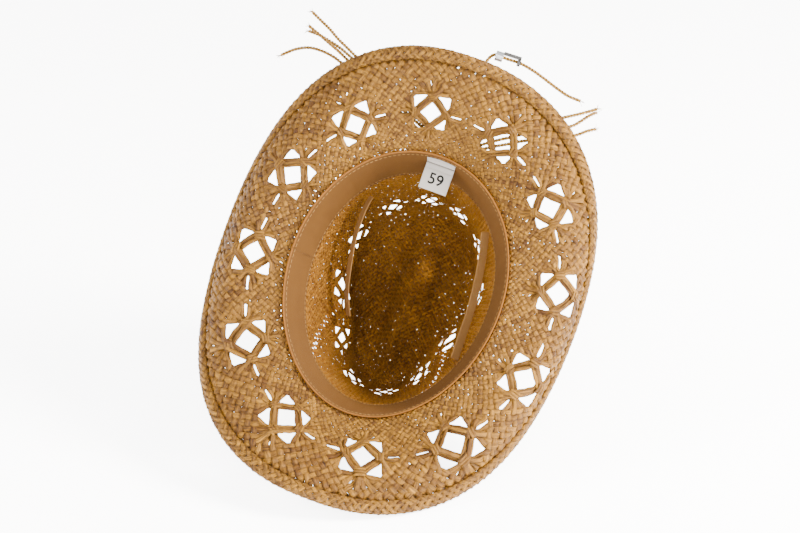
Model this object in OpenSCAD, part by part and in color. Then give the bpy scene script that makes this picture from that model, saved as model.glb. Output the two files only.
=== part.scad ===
// Openwork western hat, hand woven in straw, crown up and front towards -Y.
// The origin is the centre of the head opening, level with the foot of the crown.

/* [Head opening] */
// Length of the head opening inside the sweatband
head_l = 208; // [190:1:226]
// Width of the head opening inside the sweatband
head_w = 166; // [150:1:184]
// How much wider the back of the head is than its front
head_egg = 0.04; // [0:0.01:0.06]

/* [Straw] */
// Thickness of the dense weave
straw_t = 2.4; // [1.6:0.1:3.2]
// Number of openwork stars round the hat
star_count = 12; // [10:1:14]

/* [Crown] */
// Height of the crown's two peaks
crown_h = 116; // [100:1:130]
// Height at which the wall turns into the tip
wall_h = 92; // [84:1:98]
// Height of the middle of the crown's openwork ring
crown_ring_z = 77; // [68:1:80]
// Height of the crown's openwork ring
crown_ring_h = 26; // [18:1:30]
// Depth of the centre crease
crease_d = 28; // [15:1:34]
// Depth of each side dent
dent_d = 13; // [0:1:16]

/* [Brim] */
// Width of the brim at the front
brim_front_w = 81; // [72:1:96]
// Width of the brim at the back
brim_back_w = 82; // [72:1:96]
// Width of the brim at the sides
brim_side_w = 75; // [70:1:90]
// Angle that the front dips by
front_dip = 36; // [10:1:40]
// Angle that the back dips by
back_dip = 24; // [5:1:35]
// Angle that the left side rolls up through
roll_left = 88; // [40:1:110]
// Angle that the right side rolls up through
roll_right = 103; // [40:1:110]
// Width of the brim's openwork ring
brim_ring_w = 44; // [36:1:46]
// Distance from the crown to the middle of the brim's openwork ring
brim_ring_s = 33; // [30:1:36]
// Width of the folded hem
hem_w = 10; // [6:1:12]
// Thickness of the folded hem
hem_t = 4.4; // [3.6:0.1:5.2]
// Diameter of the shaping wire in the hem
wire_d = 1.6; // [1:0.1:2]

/* [Sweatband] */
// Height of the sweatband
band_h = 33; // [26:1:38]
// Thickness of the sweatband
band_t = 1.2; // [0.8:0.1:2]
// Diameter of the piping along its lower edge
piping_d = 1.4; // [1:0.1:2]
// Diameter of the sewing thread
thread_d = 0.6; // [0.4:0.1:0.8]
// Width of the size label
label_w = 23; // [16:1:30]
// Free length of the size label
label_l = 21; // [14:1:28]
// Thickness of the size label
label_t = 0.5; // [0.4:0.1:0.8]
// Width of the fitting straps
strap_w = 7; // [5:1:10]
// Thickness of the fitting straps
strap_t = 0.8; // [0.6:0.1:1.2]

/* [Hatband] */
// Diameter of the twisted hatband cord
hatband_d = 2.8; // [2:0.1:4]
// Diameter of the loose cord ends
tail_d = 2.2; // [1.6:0.1:2.8]
// Length of the metal charm
charm_l = 20; // [16:1:26]
// Diameter of the slider on the hatband
bead_d = 9; // [8:0.5:11]

/* [Hidden] */

// Clearances between pieces that touch or nearly touch
fit_gap = 0.3;
thread_gap = 0.05;

// Half sizes of the weave's middle surface where the crown meets the brim
base_x = head_w / 2 + band_t + 2 * fit_gap + straw_t / 2;
base_y = head_l / 2 + band_t + 2 * fit_gap + straw_t / 2;
// Lean of the crown's wall, in mm inwards for each mm up
lean_x = 0.375;
lean_y = 0.345;
lean_deg = atan((lean_x + lean_y) / 2);
// The brim starts to roll this far out
roll_start = 28;
// How fast the roll fades from the sides to the front and back
roll_fade = 1.4;
// The front straightens again by this angle
front_rise = 21;
// The openwork ring sits this much off centre on the brim
ring_shift = 6;
// Stars per turn in degrees, and the point of the star pattern that is fixed
star_step = 360 / star_count;
star_start = 84;
star_squeeze = 5;
// Each star spans this many half cells round the ring, and the ring this many across
star_cells = 7;
ring_rows = 10;
cols = star_count * star_cells;
// Half width of the centre crease, and half length
crease_w = 13;
crease_l = 58;

// Basic geometry
function unit(v) = v / norm(v);
function sq(x) = x * x;
function oval(t, ax, by) = [ax * cos(t) * (1 + head_egg * sin(t)), by * sin(t), 0];
function out_dir(t) = unit([cos(t) / base_x, sin(t) / base_y, 0]);

// Turn angle of column c, with the stars a little closer on the right side
function star_turn(c) = star_start + star_step * (c - 0.5) / star_cells;
function col_t(c) = star_turn(c) - star_squeeze * (1 - cos(star_turn(c) - 20));

// Brim: a straight start, then an arc whose angle depends on the place round the hat
function brim_w(t) = (sin(t) > 0 ? brim_back_w : brim_front_w) * sq(sin(t)) + brim_side_w * sq(cos(t));
function brim_slope(t) = -(sin(t) > 0 ? back_dip : front_dip) * sq(sin(t));
function brim_roll(t) = (cos(t) > 0 ? roll_left : roll_right) * pow(abs(cos(t)), roll_fade)
    + (sin(t) > 0 ? 0 : front_rise) * sq(sin(t)) + 0.01;
function brim_angle(t, s) = brim_slope(t)
    + brim_roll(t) * max(0, (s - roll_start) / (brim_w(t) - roll_start));
function arc_r(t) = (brim_w(t) - roll_start) * 180 / (PI * brim_roll(t));
function brim_mid(t, s) =
    let (a = brim_slope(t), b = brim_angle(t, s), s1 = min(s, roll_start), k = s > roll_start ? arc_r(t) : 0)
    let (r = s1 * cos(a) + k * (sin(b) - sin(a)), z = s1 * sin(a) + k * (cos(a) - cos(b)))
    oval(t, base_x, base_y) + r * out_dir(t) + [0, 0, z];
function brim_up(t, s) = let (b = brim_angle(t, s)) [0, 0, cos(b)] - sin(b) * out_dir(t);

// Crown: a leaning wall, then a rounded tip with a centre crease and two side dents
function wall_mid(t, z) = oval(t, base_x - lean_x * z, base_y - lean_y * z) + [0, 0, z];
function tip_mid(t, w) =
    let (k = pow(cos(90 * w), 0.8), z = wall_h + (crown_h - wall_h) * pow(sin(90 * w), 0.9))
    let (e = oval(t, (base_x - lean_x * wall_h) * k, (base_y - lean_y * wall_h) * k))
    [e[0], e[1], z];
function crease(p) = crease_d * exp(-sq(p[0] / crease_w)) * exp(-pow((p[1] + 6) / crease_l, 4));
function dent(p) = dent_d * exp(-sq((p[1] + 34) / 30)) * exp(-sq((p[2] - 88) / 24));
function dented(p) =
    let (rise = min(1, max(0, (p[2] - wall_h) / (crown_h - wall_h))))
    [p[0] - sign(p[0]) * min(abs(p[0]) * 0.3, dent(p)), p[1], p[2] - crease(p) * rise];
function crown_mid(t, v) = dented(v <= 1 ? wall_mid(t, wall_h * v) : tip_mid(t, v - 1));
function crown_out(t, v) =
    let (a = crown_mid(t + 1, v) - crown_mid(t - 1, v), b = crown_mid(t, v + 0.01) - crown_mid(t, v - 0.01))
    unit(cross(a, b));

// Shared mitre where the brim and the crown's wall meet
function wall_out(t) = cos(lean_deg) * out_dir(t) + [0, 0, sin(lean_deg)];
function mitre(t) = let (m = unit(wall_out(t) + brim_up(t, 0))) m / (m * wall_out(t));

// The two faces of the weave, side = 1 outside or on top, side = -1 inside or underneath
function brim_face(t, s, side) =
    brim_mid(t, s) + side * straw_t / 2 * (s < 0.01 ? mitre(t) : brim_up(t, s));
function crown_face(t, v, side) =
    crown_mid(t, v) + side * straw_t / 2 * (v < 0.01 ? mitre(t) : crown_out(t, v));

// Distance from the crown to the two edges of the brim's openwork ring
function ring_s(t) = brim_ring_s - ring_shift * cos(t - 10);
function ring_in(t) = ring_s(t) - brim_ring_w / 2;
function ring_out(t) = ring_s(t) + brim_ring_w / 2;
function hem_in(t) = brim_w(t) - hem_w;
ring_v_low = (crown_ring_z - crown_ring_h / 2) / wall_h;
ring_v_high = (crown_ring_z + crown_ring_h / 2) / wall_h;

function mix(a, b, k) = a + (b - a) * k;
function flat(l) = [for (part = l) for (item = part) item];

// A closed band between two rings of points, one grid for each face of the weave.
// Its first rim is split along the other diagonal where it meets a band that starts there too.
module band(outer, inner, other_diagonal = false) {
    rows = len(outer);
    n = len(outer[0]);
    all_points = concat(flat(outer), flat(inner));
    low = rows * n;
    skin = [for (j = [0:rows - 2]) for (i = [0:n - 1])
        let (a = j * n + i, b = j * n + (i + 1) % n, c = b + n, d = a + n)
        each [[a, c, b], [a, d, c], [low + a, low + b, low + c], [low + a, low + c, low + d]]];
    last = (rows - 1) * n;
    first_rim = [for (i = [0:n - 1]) let (k = (i + 1) % n)
        each other_diagonal ? [[i, k, low + i], [k, low + k, low + i]]
            : [[i, low + k, low + i], [i, k, low + k]]];
    last_rim = [for (i = [0:n - 1]) let (k = (i + 1) % n)
        each [[last + i, low + last + k, last + k], [last + i, low + last + i, low + last + k]]];
    polyhedron(all_points, concat(skin, first_rim, last_rim));
}

// Which half cells of one star are open: x runs round the ring and y across it
function wrap(x) = let (m = 2 * star_cells) (x + star_cells) - m * floor((x + star_cells) / m) - star_cells;
function is_open(x, y) =
    let (ax = abs(wrap(x)), ay = abs(y))
    ax + ay == 1 || (ax == 2 && ay == 3) || (ax == 3 && ay == 2) || (ax == 5 && ay == 0);

// The openwork ring: a net of diamonds, some of them left open
module net(outer, inner) {
    rows = len(outer);
    n = len(outer[0]);
    mid_row = (rows - 1) / 2;
    all_points = concat(flat(outer), flat(inner));
    low = rows * n;
    // Grid index of the point at half cell x in row j
    function at(x, j) = j * n + floor((x - j % 2) / 2 + 2 * n) % n;
    function open(x, j) = j > 0 && j < rows - 1 && is_open(x - 1, j - mid_row);
    function tri(a, b, c) = [[a, c, b], [low + a, low + b, low + c]];
    function wall(a, b) = [[a, low + b, low + a], [a, b, low + b]];
    function last_wall(a, b) = [[a, low + b, b], [a, low + a, low + b]];
    faces = [for (j = [0:rows - 1]) for (i = [0:n - 1])
        let (x = 2 * i + j % 2 + 1, l = at(x - 1, j), r = at(x + 1, j))
        let (u = j < rows - 1 ? at(x, j + 1) : -1, d = j > 0 ? at(x, j - 1) : -1)
        if (!open(x, j)) each concat(
            u >= 0 ? tri(l, r, u) : last_wall(l, r),
            d >= 0 ? tri(l, d, r) : wall(l, r),
            u >= 0 && open(x - 1, j + 1) ? wall(u, l) : [],
            u >= 0 && open(x + 1, j + 1) ? wall(r, u) : [],
            d >= 0 && open(x + 1, j - 1) ? wall(d, r) : [],
            d >= 0 && open(x - 1, j - 1) ? wall(l, d) : []
        )];
    polyhedron(all_points, faces);
}

// A round cord swept along points, with round_sides sides; closed makes a ring of it
module sweep(path, d, sides, closed = false) {
    n = len(path);
    function step(i) = closed ? path[(i + 1) % n] - path[(i + n - 1) % n]
        : path[min(i + 1, n - 1)] - path[max(i - 1, 0)];
    rings = [for (i = [0:n - 1])
        let (f = unit(step(i)), g = unit(cross(f, [0.05, 0.08, 1])), h = cross(f, g))
        [for (k = [0:sides - 1]) path[i] + d / 2 * (cos(360 * k / sides) * g + sin(360 * k / sides) * h)]];
    skin = [for (i = [0:n - (closed ? 1 : 2)]) for (k = [0:sides - 1])
        let (a = i * sides + k, b = i * sides + (k + 1) % sides)
        let (c = ((i + 1) % n) * sides + (k + 1) % sides, e = ((i + 1) % n) * sides + k)
        each [[a, c, b], [a, e, c]]];
    caps = closed ? [] : concat(
        [for (k = [1:sides - 2]) [0, k, k + 1]],
        [for (k = [1:sides - 2]) [(n - 1) * sides, (n - 1) * sides + k + 1, (n - 1) * sides + k]]);
    polyhedron(flat(rings), concat(skin, caps));
}

// Rings of the solid weave, from edge value a to edge value b in a number of steps
function brim_rings(a, b, steps, side) = [for (j = [0:steps]) [for (c = [0:cols - 1])
    let (t = col_t(c)) brim_face(t, mix(a == 0 ? 0 : ring_edge(t, a), ring_edge(t, b), j / steps), side)]];
function ring_edge(t, k) = k == 1 ? ring_in(t) : k == 2 ? ring_out(t) : hem_in(t);
function crown_rings(a, b, steps, side) = [for (j = [0:steps]) [for (c = [0:cols - 1])
    crown_face(col_t(c), mix(a, b, j / steps), side)]];

module crown_wall() {
    color("#b98a45") band(crown_rings(0, ring_v_low, 4, 1), crown_rings(0, ring_v_low, 4, -1), true);
}

module crown_openwork() {
    function grid(side) = [for (j = [0:ring_rows]) [for (c = [0:cols - 1])
        crown_face(col_t(c + (j % 2) / 2), mix(ring_v_low, ring_v_high, j / ring_rows), side)]];
    color("#a87a38") net(grid(1), grid(-1));
}

module crown_tip() {
    tip_rows = [0, 0.12, 0.3, 0.5, 0.7, 0.87];
    levels = concat([ring_v_high], [for (w = tip_rows) 1 + w]);
    outer = [for (v = levels) [for (c = [0:cols - 1]) crown_face(col_t(c), v, 1)]];
    inner = [for (v = levels) [for (c = [0:cols - 1]) crown_face(col_t(c), v, -1)]];
    n = cols;
    rows = len(levels);
    points_out = concat(flat(outer), [dented([0, 0, crown_h]) + [0, 0, straw_t / 2]]);
    points_in = concat(flat(inner), [dented([0, 0, crown_h]) - [0, 0, straw_t / 2]]);
    low = len(points_out);
    top = rows * n;
    skin = [for (j = [0:rows - 2]) for (i = [0:n - 1])
        let (a = j * n + i, b = j * n + (i + 1) % n, c = b + n, d = a + n)
        each [[a, c, b], [a, d, c], [low + a, low + b, low + c], [low + a, low + c, low + d]]];
    caps = [for (i = [0:n - 1]) let (a = (rows - 1) * n + i, b = (rows - 1) * n + (i + 1) % n)
        each [[b, a, top], [low + a, low + b, low + top]]];
    rim = [for (i = [0:n - 1]) let (k = (i + 1) % n) each [[i, low + k, low + i], [i, k, low + k]]];
    color("#8f6630") polyhedron(concat(points_out, points_in), concat(skin, caps, rim));
}

module brim_inner_weave() {
    color("#c79a52") band(brim_rings(0, 1, 2, -1), brim_rings(0, 1, 2, 1));
}

module brim_openwork() {
    function grid(side) = [for (j = [0:ring_rows]) [for (c = [0:cols - 1])
        let (t = col_t(c + (j % 2) / 2)) brim_face(t, mix(ring_in(t), ring_out(t), j / ring_rows), side)]];
    color("#b98a45") net(grid(-1), grid(1));
}

module brim_outer_weave() {
    color("#c79a52") band(brim_rings(2, 3, 3, -1), brim_rings(2, 3, 3, 1));
}

// The hem is thicker than the weave: it steps up from the weave and rounds off at the edge
module brim_hem() {
    function thick(k) = k == 0 ? straw_t : k == 1 ? 0.6 * hem_t : hem_t;
    function ring(k, side) = [for (c = [0:cols - 1]) let (t = col_t(c), s = hem_in(t) + hem_w * k)
        brim_mid(t, s) + side * thick(k) / 2 * brim_up(t, s)];
    rows_at = [0, 0.06, 0.45, 0.85, 1];
    color("#a87a38") band([for (k = rows_at) ring(k, -1)], [for (k = rows_at) ring(k, 1)]);
}

function brim_ring_path(s_back, lift) = [for (c = [0:cols - 1])
    let (t = col_t(c), s = brim_w(t) - s_back) brim_mid(t, s) + lift * brim_up(t, s)];

module brim_wire() {
    color("silver") sweep(brim_ring_path(hem_w / 2, 0), wire_d, 6, true);
}

module hem_thread() {
    lift = hem_t / 2 + thread_d / 2 + thread_gap;
    color("#7d5626") sweep(brim_ring_path(hem_w - 1, -lift), thread_d, 4, true);
}

// Sweatband: its outside follows the wall at the fitting gap
function band_mid(t, z, off) =
    wall_mid(t, z) - (straw_t / 2 + fit_gap + band_t / 2 + off) * wall_out(t);
band_foot_z = -0.8;
band_cols = 72;
band_turns = [for (i = [0:band_cols - 1]) i * 360 / band_cols];

module sweatband() {
    levels = [0, 0.5, 1];
    function ring(k, off) = [for (t = band_turns) band_mid(t, band_foot_z + band_h * k, off)];
    color("#9a6a38") band([for (k = levels) ring(k, -band_t / 2)], [for (k = levels) ring(k, band_t / 2)]);
}

module sweatband_piping() {
    foot = band_foot_z - piping_d / 2 - thread_gap;
    color("#c9a26a") sweep([for (t = band_turns) band_mid(t, foot, 0)], piping_d, 6, true);
}

function band_face(t, z, off) = band_mid(t, z, band_t / 2 + off);
module band_thread(z) {
    off = thread_d / 2 + thread_gap;
    color("#7a5228") sweep([for (t = band_turns) band_face(t, z, off)], thread_d, 4, true);
}

module band_thread_lower() {
    band_thread(band_foot_z + 2.5);
}

module band_thread_upper() {
    band_thread(band_foot_z + band_h - 2);
}

// The label is sewn flat on the band along its fold and stands out into the crown
label_z = 8;
label_tilt = 8;
label_fold = 3;
label_hinge_y = band_y(label_z, fit_gap + label_t / 2) - label_curve(label_w / 2);
// How far the back of the band curves away at x to one side, and its face at height z
function label_curve(x) = sq(x / (head_w / 2)) * head_l / 4 + 0.1;
function band_y(z, off) = let (p = band_face(90, z, off)) p[1] - (z - p[2]) * lean_y;
module size_label() {
    // The hinge line is the fold, so the plate starts a hair in front of it
    color("#dcdad6") translate([0, label_hinge_y, label_z]) rotate([-label_tilt, 0, 0])
        translate([-label_w / 2, -label_l, -label_t / 2]) cube([label_w, label_l, label_t]);
}

module label_thread() {
    r = thread_d / 2;
    y = band_y(label_z - label_fold, r + thread_gap);
    for (x = [-label_w / 2 + 2:3:label_w / 2 - 4])
        color("#efece6") translate([x, y - label_curve(abs(x) + 2), label_z - label_fold])
            rotate([0, 90, 0]) cylinder(h = 2, d = thread_d, $fn = 24);
}

// Fitting straps: flat tapes with a round route and square ends. Their routes are placed from the
// half width and half length of the crown at the top of the sweatband
strap_x = base_x - lean_x * band_h;
strap_y = base_y - lean_y * band_h;
function bezier(p, k) = let (q = 1 - k) q * q * q * p[0] + 3 * q * q * k * p[1]
    + 3 * q * k * k * p[2] + k * k * k * p[3];
module strap(route, wide) {
    steps = 24;
    function ring(k) = let (p = bezier(route, k), f = unit(bezier(route, k + 0.01) - bezier(route, k - 0.01)))
        let (w = unit(wide - (wide * f) * f), u = cross(f, w))
        [p - w * strap_w / 2 - u * strap_t / 2, p + w * strap_w / 2 - u * strap_t / 2,
         p + w * strap_w / 2 + u * strap_t / 2, p - w * strap_w / 2 + u * strap_t / 2];
    rings = [for (i = [0:steps]) ring(i / steps)];
    skin = [for (i = [0:steps - 1]) for (k = [0:3])
        let (a = 4 * i + k, b = 4 * i + (k + 1) % 4, c = b + 4, d = a + 4) each [[a, c, b], [a, d, c]]];
    e = 4 * steps;
    color("#a0713f") polyhedron(flat(rings),
        concat(skin, [[0, 1, 2], [0, 2, 3]], [[e, e + 2, e + 1], [e, e + 3, e + 2]]));
}

module fit_strap_left() {
    strap([[strap_x - 25.625, 0.6484 * strap_y, band_h + 4], [strap_x - 20.625, 0.4183 * strap_y, band_h + 9],
        [strap_x - 23.625, 0, band_h + 19], [strap_x - 38.625, -0.3347 * strap_y, band_h + 29]], [0.75, 0, 1]);
}

module fit_strap_right() {
    strap([[26.625 - strap_x, 0.6903 * strap_y, band_h + 4], [17.625 - strap_x, 0.4183 * strap_y, band_h + 5],
        [13.625 - strap_x, 0, band_h + 5], [13.625 - strap_x, -0.3765 * strap_y, band_h + 3]], [-0.4, 0, 1]);
}

// Hatband: two rounds of twisted cord at the foot of the crown
cord_cols = 60;
function hatband_path(z) = [for (i = [0:cord_cols - 1]) let (t = i * 360 / cord_cols)
    wall_mid(t, z) + (straw_t / 2 + hatband_d / 2 + fit_gap) * wall_out(t)];
hatband_z = 6;

module hatband_cord_lower() {
    color("#b98d4f") sweep(hatband_path(hatband_z), hatband_d, 6, true);
}

module hatband_cord_upper() {
    color("#c79a5a") sweep(hatband_path(hatband_z + cord_step), hatband_d, 6, true);
}

// The knot sits outside both rounds at the back, a little to the right of the middle
knot_d = 9;
knot_turn = 92;
knot_at = wall_mid(knot_turn, hatband_z + hatband_d / 2)
    + (straw_t / 2 + hatband_d + knot_d / 2 + 2 * fit_gap) * wall_out(knot_turn);
module hatband_knot() {
    color("#b98d4f") translate(knot_at) sphere(d = knot_d, $fn = 48);
}

// The slider is a metal barrel pinched round both rounds of cord, towards the front left
bead_turn = 297;
bead_len = 7;
bead_slot = hatband_d + 2 * fit_gap;
bead_face_gap = straw_t / 2 + fit_gap;
bead_out = straw_t / 2 + hatband_d / 2 + fit_gap;
cord_step = hatband_d + 0.2;
bead_at = wall_mid(bead_turn, hatband_z + cord_step / 2) + bead_out * wall_out(bead_turn);
bead_heading = atan2(out_dir(bead_turn)[1], out_dir(bead_turn)[0]);
module hatband_bead() {
    // X runs out from the crown, Y along the cords and Z up the leaning wall
    color("#8d9298") translate(bead_at) rotate([0, 0, bead_heading]) rotate([0, -lean_deg, 0])
        difference() {
            rotate([90, 0, 0]) cylinder(h = bead_len, d = bead_d, center = true, $fn = 48);
            for (k = [-1, 1]) translate([0, 0, k * cord_step / 2]) rotate([90, 0, 0])
                cylinder(h = bead_len + 1, d = bead_slot, center = true, $fn = 32);
            translate([-bead_d, -bead_d, -cord_step / 2 - bead_slot / 2])
                cube([bead_d, 2 * bead_d, cord_step + bead_slot]);
            translate([-bead_d - bead_out + bead_face_gap, -bead_d, -bead_d])
                cube([bead_d, 2 * bead_d, 2 * bead_d]);
        }
}

// Loose cord ends: each runs from the knot over the brim and out past its edge
tail_a_route = [
    [-2, 117.5, 10.5], [7, 121, 5], [14.5, 124.5, -2], [23.5, 128, -7],
    [33, 132.5, -9], [43, 136.5, -11], [53, 140.5, -12.5], [63, 145, -13],
    [73, 149, -11.5], [82.5, 153, -8.5], [92, 157, -5], [101.5, 161.5, -3],
    [111, 166, -1], [120.5, 171.5, 1.5], [130, 176, 4], [139.5, 180.5, 6]
];
tail_b_route = [
    [0.5, 115, 10.5], [9, 118.5, 5.5], [16.5, 121.5, -1], [24.5, 125, -6],
    [33.5, 129, -8], [43, 133, -10], [52.5, 137, -11.5], [62, 141, -12],
    [71.5, 145, -11.5], [80.5, 148.5, -9], [89.5, 152.5, -5.5], [98.5, 156.5, -3],
    [108, 160, -1.5], [118, 162.5, 0], [127.5, 164.5, 2.5], [137, 165.5, 7]
];
tail_c_route = [
    [0.5, 112.5, 10.5], [9, 116, 6], [16.5, 119, 0], [24.5, 122.5, -4.5],
    [33.5, 126, -7], [43, 130, -9], [52, 134, -10.5], [61.5, 137.5, -11.5],
    [70.5, 141.5, -11.5], [80, 145.5, -9], [88.5, 149, -6], [97.5, 152.5, -2.5],
    [106.5, 156.5, -2], [116, 160, -3.5], [125.5, 163.5, -5.5], [135, 167, -6]
];
tail_d_route = [
    [-2.5, 109.5, 8.5], [8, 113, 5], [17, 116, 0], [26.5, 120, -4.5],
    [37, 124.5, -6.5], [47.5, 128.5, -8.5], [58, 132.5, -10.5], [68.5, 136.5, -10.5],
    [79, 140.5, -9.5], [89.5, 144.5, -6.5], [99, 148, -1.5], [109.5, 151.5, 0.5],
    [120.5, 153, 1.5], [131.5, 152.5, 4.5], [141.5, 148, 6.5], [150, 139.5, 4]
];
tail_e_route = [
    [-4, 117, 10.5], [-5, 125.5, 2.5], [-5.5, 131.5, -7], [-6, 140.5, -12],
    [-7, 150.5, -16], [-7.5, 160.5, -20.5], [-8, 171, -23.5], [-9, 181, -27.5],
    [-13, 190.5, -25.5], [-23.5, 191, -24], [-34, 191.5, -22], [-44.5, 190, -19.5],
    [-54.5, 187.5, -16.5], [-65, 184.5, -13.5], [-75.5, 182, -11], [-86, 181.5, -10]
];
tail_f_route = [
    [-6.5, 116, 10.5], [-13, 120.5, 6], [-17.5, 123.5, 0], [-22.5, 127, -6],
    [-28.5, 131, -9], [-35.5, 135.5, -10.5], [-42, 140, -12.5], [-48.5, 144.5, -13.5],
    [-55.5, 149.5, -14], [-62, 154, -13], [-68.5, 158.5, -11.5], [-75, 163, -9.5],
    [-81.5, 167.5, -7.5], [-87.5, 172, -4.5], [-93.5, 177, -1], [-99.5, 182, 1]
];
tail_g_route = [
    [-8, 113.5, 10.5], [-14, 117.5, 6], [-19.5, 120.5, 0.5], [-25, 124, -5],
    [-31.5, 128, -7.5], [-38.5, 132.5, -9.5], [-45.5, 136.5, -11], [-52.5, 141, -12],
    [-59.5, 145, -12.5], [-66.5, 149.5, -12], [-73, 153.5, -10], [-80, 158, -7.5],
    [-86.5, 162, -4.5], [-91, 168, -1.5], [-95, 174.5, 2], [-99, 180, 7]
];
tail_h_route = [
    [-7, 110.5, 10.5], [-13.5, 114, 7], [-19, 117, 2], [-24.5, 120, -3],
    [-31, 123.5, -6], [-38, 127.5, -7.5], [-45, 131, -9.5], [-51.5, 135, -10.5],
    [-58.5, 138.5, -11.5], [-65.5, 142.5, -11.5], [-73, 146.5, -10.5], [-79.5, 150, -8.5],
    [-86, 153.5, -5], [-92, 157, -2], [-98, 162.5, -0.5], [-103.5, 167, 3]
];

module tail(route) {
    color("#b8924f") sweep(route, tail_d, 8);
}

module tail_a() {
    tail(tail_a_route);
}

module tail_b() {
    tail(tail_b_route);
}

module tail_c() {
    tail(tail_c_route);
}

module tail_d_cord() {
    tail(tail_d_route);
}

module tail_e() {
    tail(tail_e_route);
}

module tail_f() {
    tail(tail_f_route);
}

module tail_g() {
    tail(tail_g_route);
}

module tail_h() {
    tail(tail_h_route);
}

// Charm: a tube and an eye joined by a bar, threaded on the cord end at the back
charm_at = [-24, 191, -24];
charm_turn = [0, 81, 177];
charm_hole_d = tail_d + 1.6;
tube_d = charm_hole_d + 4.2;
tube_l = 6;
eye_d = charm_hole_d + 2.2;
eye_l = 2.4;
bar_w = 2.6;
module charm_place() {
    translate(charm_at) rotate(charm_turn) children();
}

module charm_tube() {
    color("#9aa0a6") charm_place() translate([0, 0, -charm_l / 2])
        difference() {
            cylinder(h = tube_l, d = tube_d, $fn = 48);
            translate([0, 0, -1]) cylinder(h = tube_l + 2, d = charm_hole_d, $fn = 48);
        }
}

module charm_bar() {
    reach = charm_hole_d / 2 + 0.2;
    color("#4a4e55") charm_place()
        difference() {
            union() {
                translate([-bar_w / 2, -reach - bar_w, tube_l - charm_l / 2])
                    cube([bar_w, bar_w, charm_l - tube_l]);
                translate([0, 0, charm_l / 2 - eye_l]) cylinder(h = eye_l, d = eye_d, $fn = 48);
            }
            translate([0, 0, charm_l / 2 - eye_l - 1]) cylinder(h = eye_l + 2, d = charm_hole_d, $fn = 48);
        }
}

crown_tip();
crown_openwork();
crown_wall();
brim_inner_weave();
brim_openwork();
brim_outer_weave();
brim_hem();
brim_wire();
hem_thread();
sweatband();
sweatband_piping();
band_thread_lower();
band_thread_upper();
size_label();
label_thread();
fit_strap_left();
fit_strap_right();
hatband_cord_lower();
hatband_cord_upper();
hatband_knot();
hatband_bead();
tail_a();
tail_b();
tail_c();
tail_d_cord();
tail_e();
tail_f();
tail_g();
tail_h();
charm_tube();
charm_bar();
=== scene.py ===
import math
import bmesh
import bpy
import numpy as np
from mathutils import Matrix


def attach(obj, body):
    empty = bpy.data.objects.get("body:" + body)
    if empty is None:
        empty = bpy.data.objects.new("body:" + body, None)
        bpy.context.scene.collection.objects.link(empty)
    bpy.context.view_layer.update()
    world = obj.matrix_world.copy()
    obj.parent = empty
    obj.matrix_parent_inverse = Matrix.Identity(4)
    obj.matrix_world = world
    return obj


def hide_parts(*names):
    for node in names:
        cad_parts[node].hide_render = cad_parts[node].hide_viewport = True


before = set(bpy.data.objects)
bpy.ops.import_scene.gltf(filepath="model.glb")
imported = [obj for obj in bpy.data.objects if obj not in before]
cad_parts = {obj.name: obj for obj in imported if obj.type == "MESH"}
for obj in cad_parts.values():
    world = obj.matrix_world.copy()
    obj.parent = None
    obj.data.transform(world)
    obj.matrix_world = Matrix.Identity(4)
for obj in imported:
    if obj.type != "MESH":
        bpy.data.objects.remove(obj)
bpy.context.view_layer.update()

# %% [markdown]
# # An openwork straw western hat
# The hat is woven by hand from flat straw: two families of strands cross on the diagonal,
# over one and under one, from the top of the crown out to the edge of the brim. Round the brim
# and round the crown the strands are gathered into bundles and tied, which leaves open stars.
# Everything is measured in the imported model's frame. Sizes are thought of in millimetres,
# as a maker would, and turned into metres when a mesh is made.

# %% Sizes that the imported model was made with
HEAD_L, HEAD_W, EGG, STRAW = 208.0, 166.0, 0.04, 2.4
CROWN_H, WALL_H, RING_Z = 116.0, 92.0, 77.0
FRONT_W, BACK_W, SIDE_W, HEM_W, HEM_T = 81.0, 82.0, 75.0, 10.0, 4.4
BAND_H, BAND_T, CORD_D, TAIL_D = 33.0, 1.2, 2.8, 2.2
BASE_X = HEAD_W / 2 + BAND_T + 0.6 + STRAW / 2
BASE_Y = HEAD_L / 2 + BAND_T + 0.6 + STRAW / 2
LEAN_X, LEAN_Y = 0.375, 0.345
LEAN = math.atan((LEAN_X + LEAN_Y) / 2)
STARS, PER_STAR = 12, 12
ROUND = STARS * PER_STAR
print("strands each way round the hat:", ROUND)

# %% [markdown]
# ## Camera and light
# The camera looks up into the crown from below and in front, with a long lens. The hat rests
# on its crown and the edge of its brim, so the floor is a tilted plane in the hat's own frame.

# %% Camera
RIGHT = np.array([-0.92794, 0.35542, 0.11224])
UP = np.array([0.34076, 0.93100, -0.13086])
AHEAD = np.array([0.15101, 0.08318, 0.98503])
EYE = np.array([-0.27975, -0.14006, -1.82885])
lens = bpy.data.cameras.new("Camera")
lens.lens, lens.sensor_width = 108.0, 36.0
camera = bpy.data.objects.new("Camera", lens)
camera.matrix_world = Matrix([[*map(float, (RIGHT[k], UP[k], -AHEAD[k], EYE[k]))] for k in range(3)]
                             + [[0, 0, 0, 1]])
bpy.context.scene.collection.objects.link(camera)
bpy.context.scene.camera = camera
print("camera", [round(float(x), 3) for x in EYE])

# %% Helpers for vectors in millimetres
def unit(v):
    return v / np.maximum(np.linalg.norm(v, axis=-1, keepdims=True), 1e-9)


def smooth(x, a, b):
    k = np.clip((x - a) / (b - a), 0, 1)
    return k * k * (3 - 2 * k)


def wobble(x, seed):
    """A smooth random wave of about unit height along x, the same for the same seed."""
    r = np.random.default_rng(int(seed))
    f, a = r.uniform(0.5, 2.2, 4), r.uniform(0, 2 * math.pi, 4)
    return sum(np.sin(x * f[k] + a[k]) for k in range(4)) / 2


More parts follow.
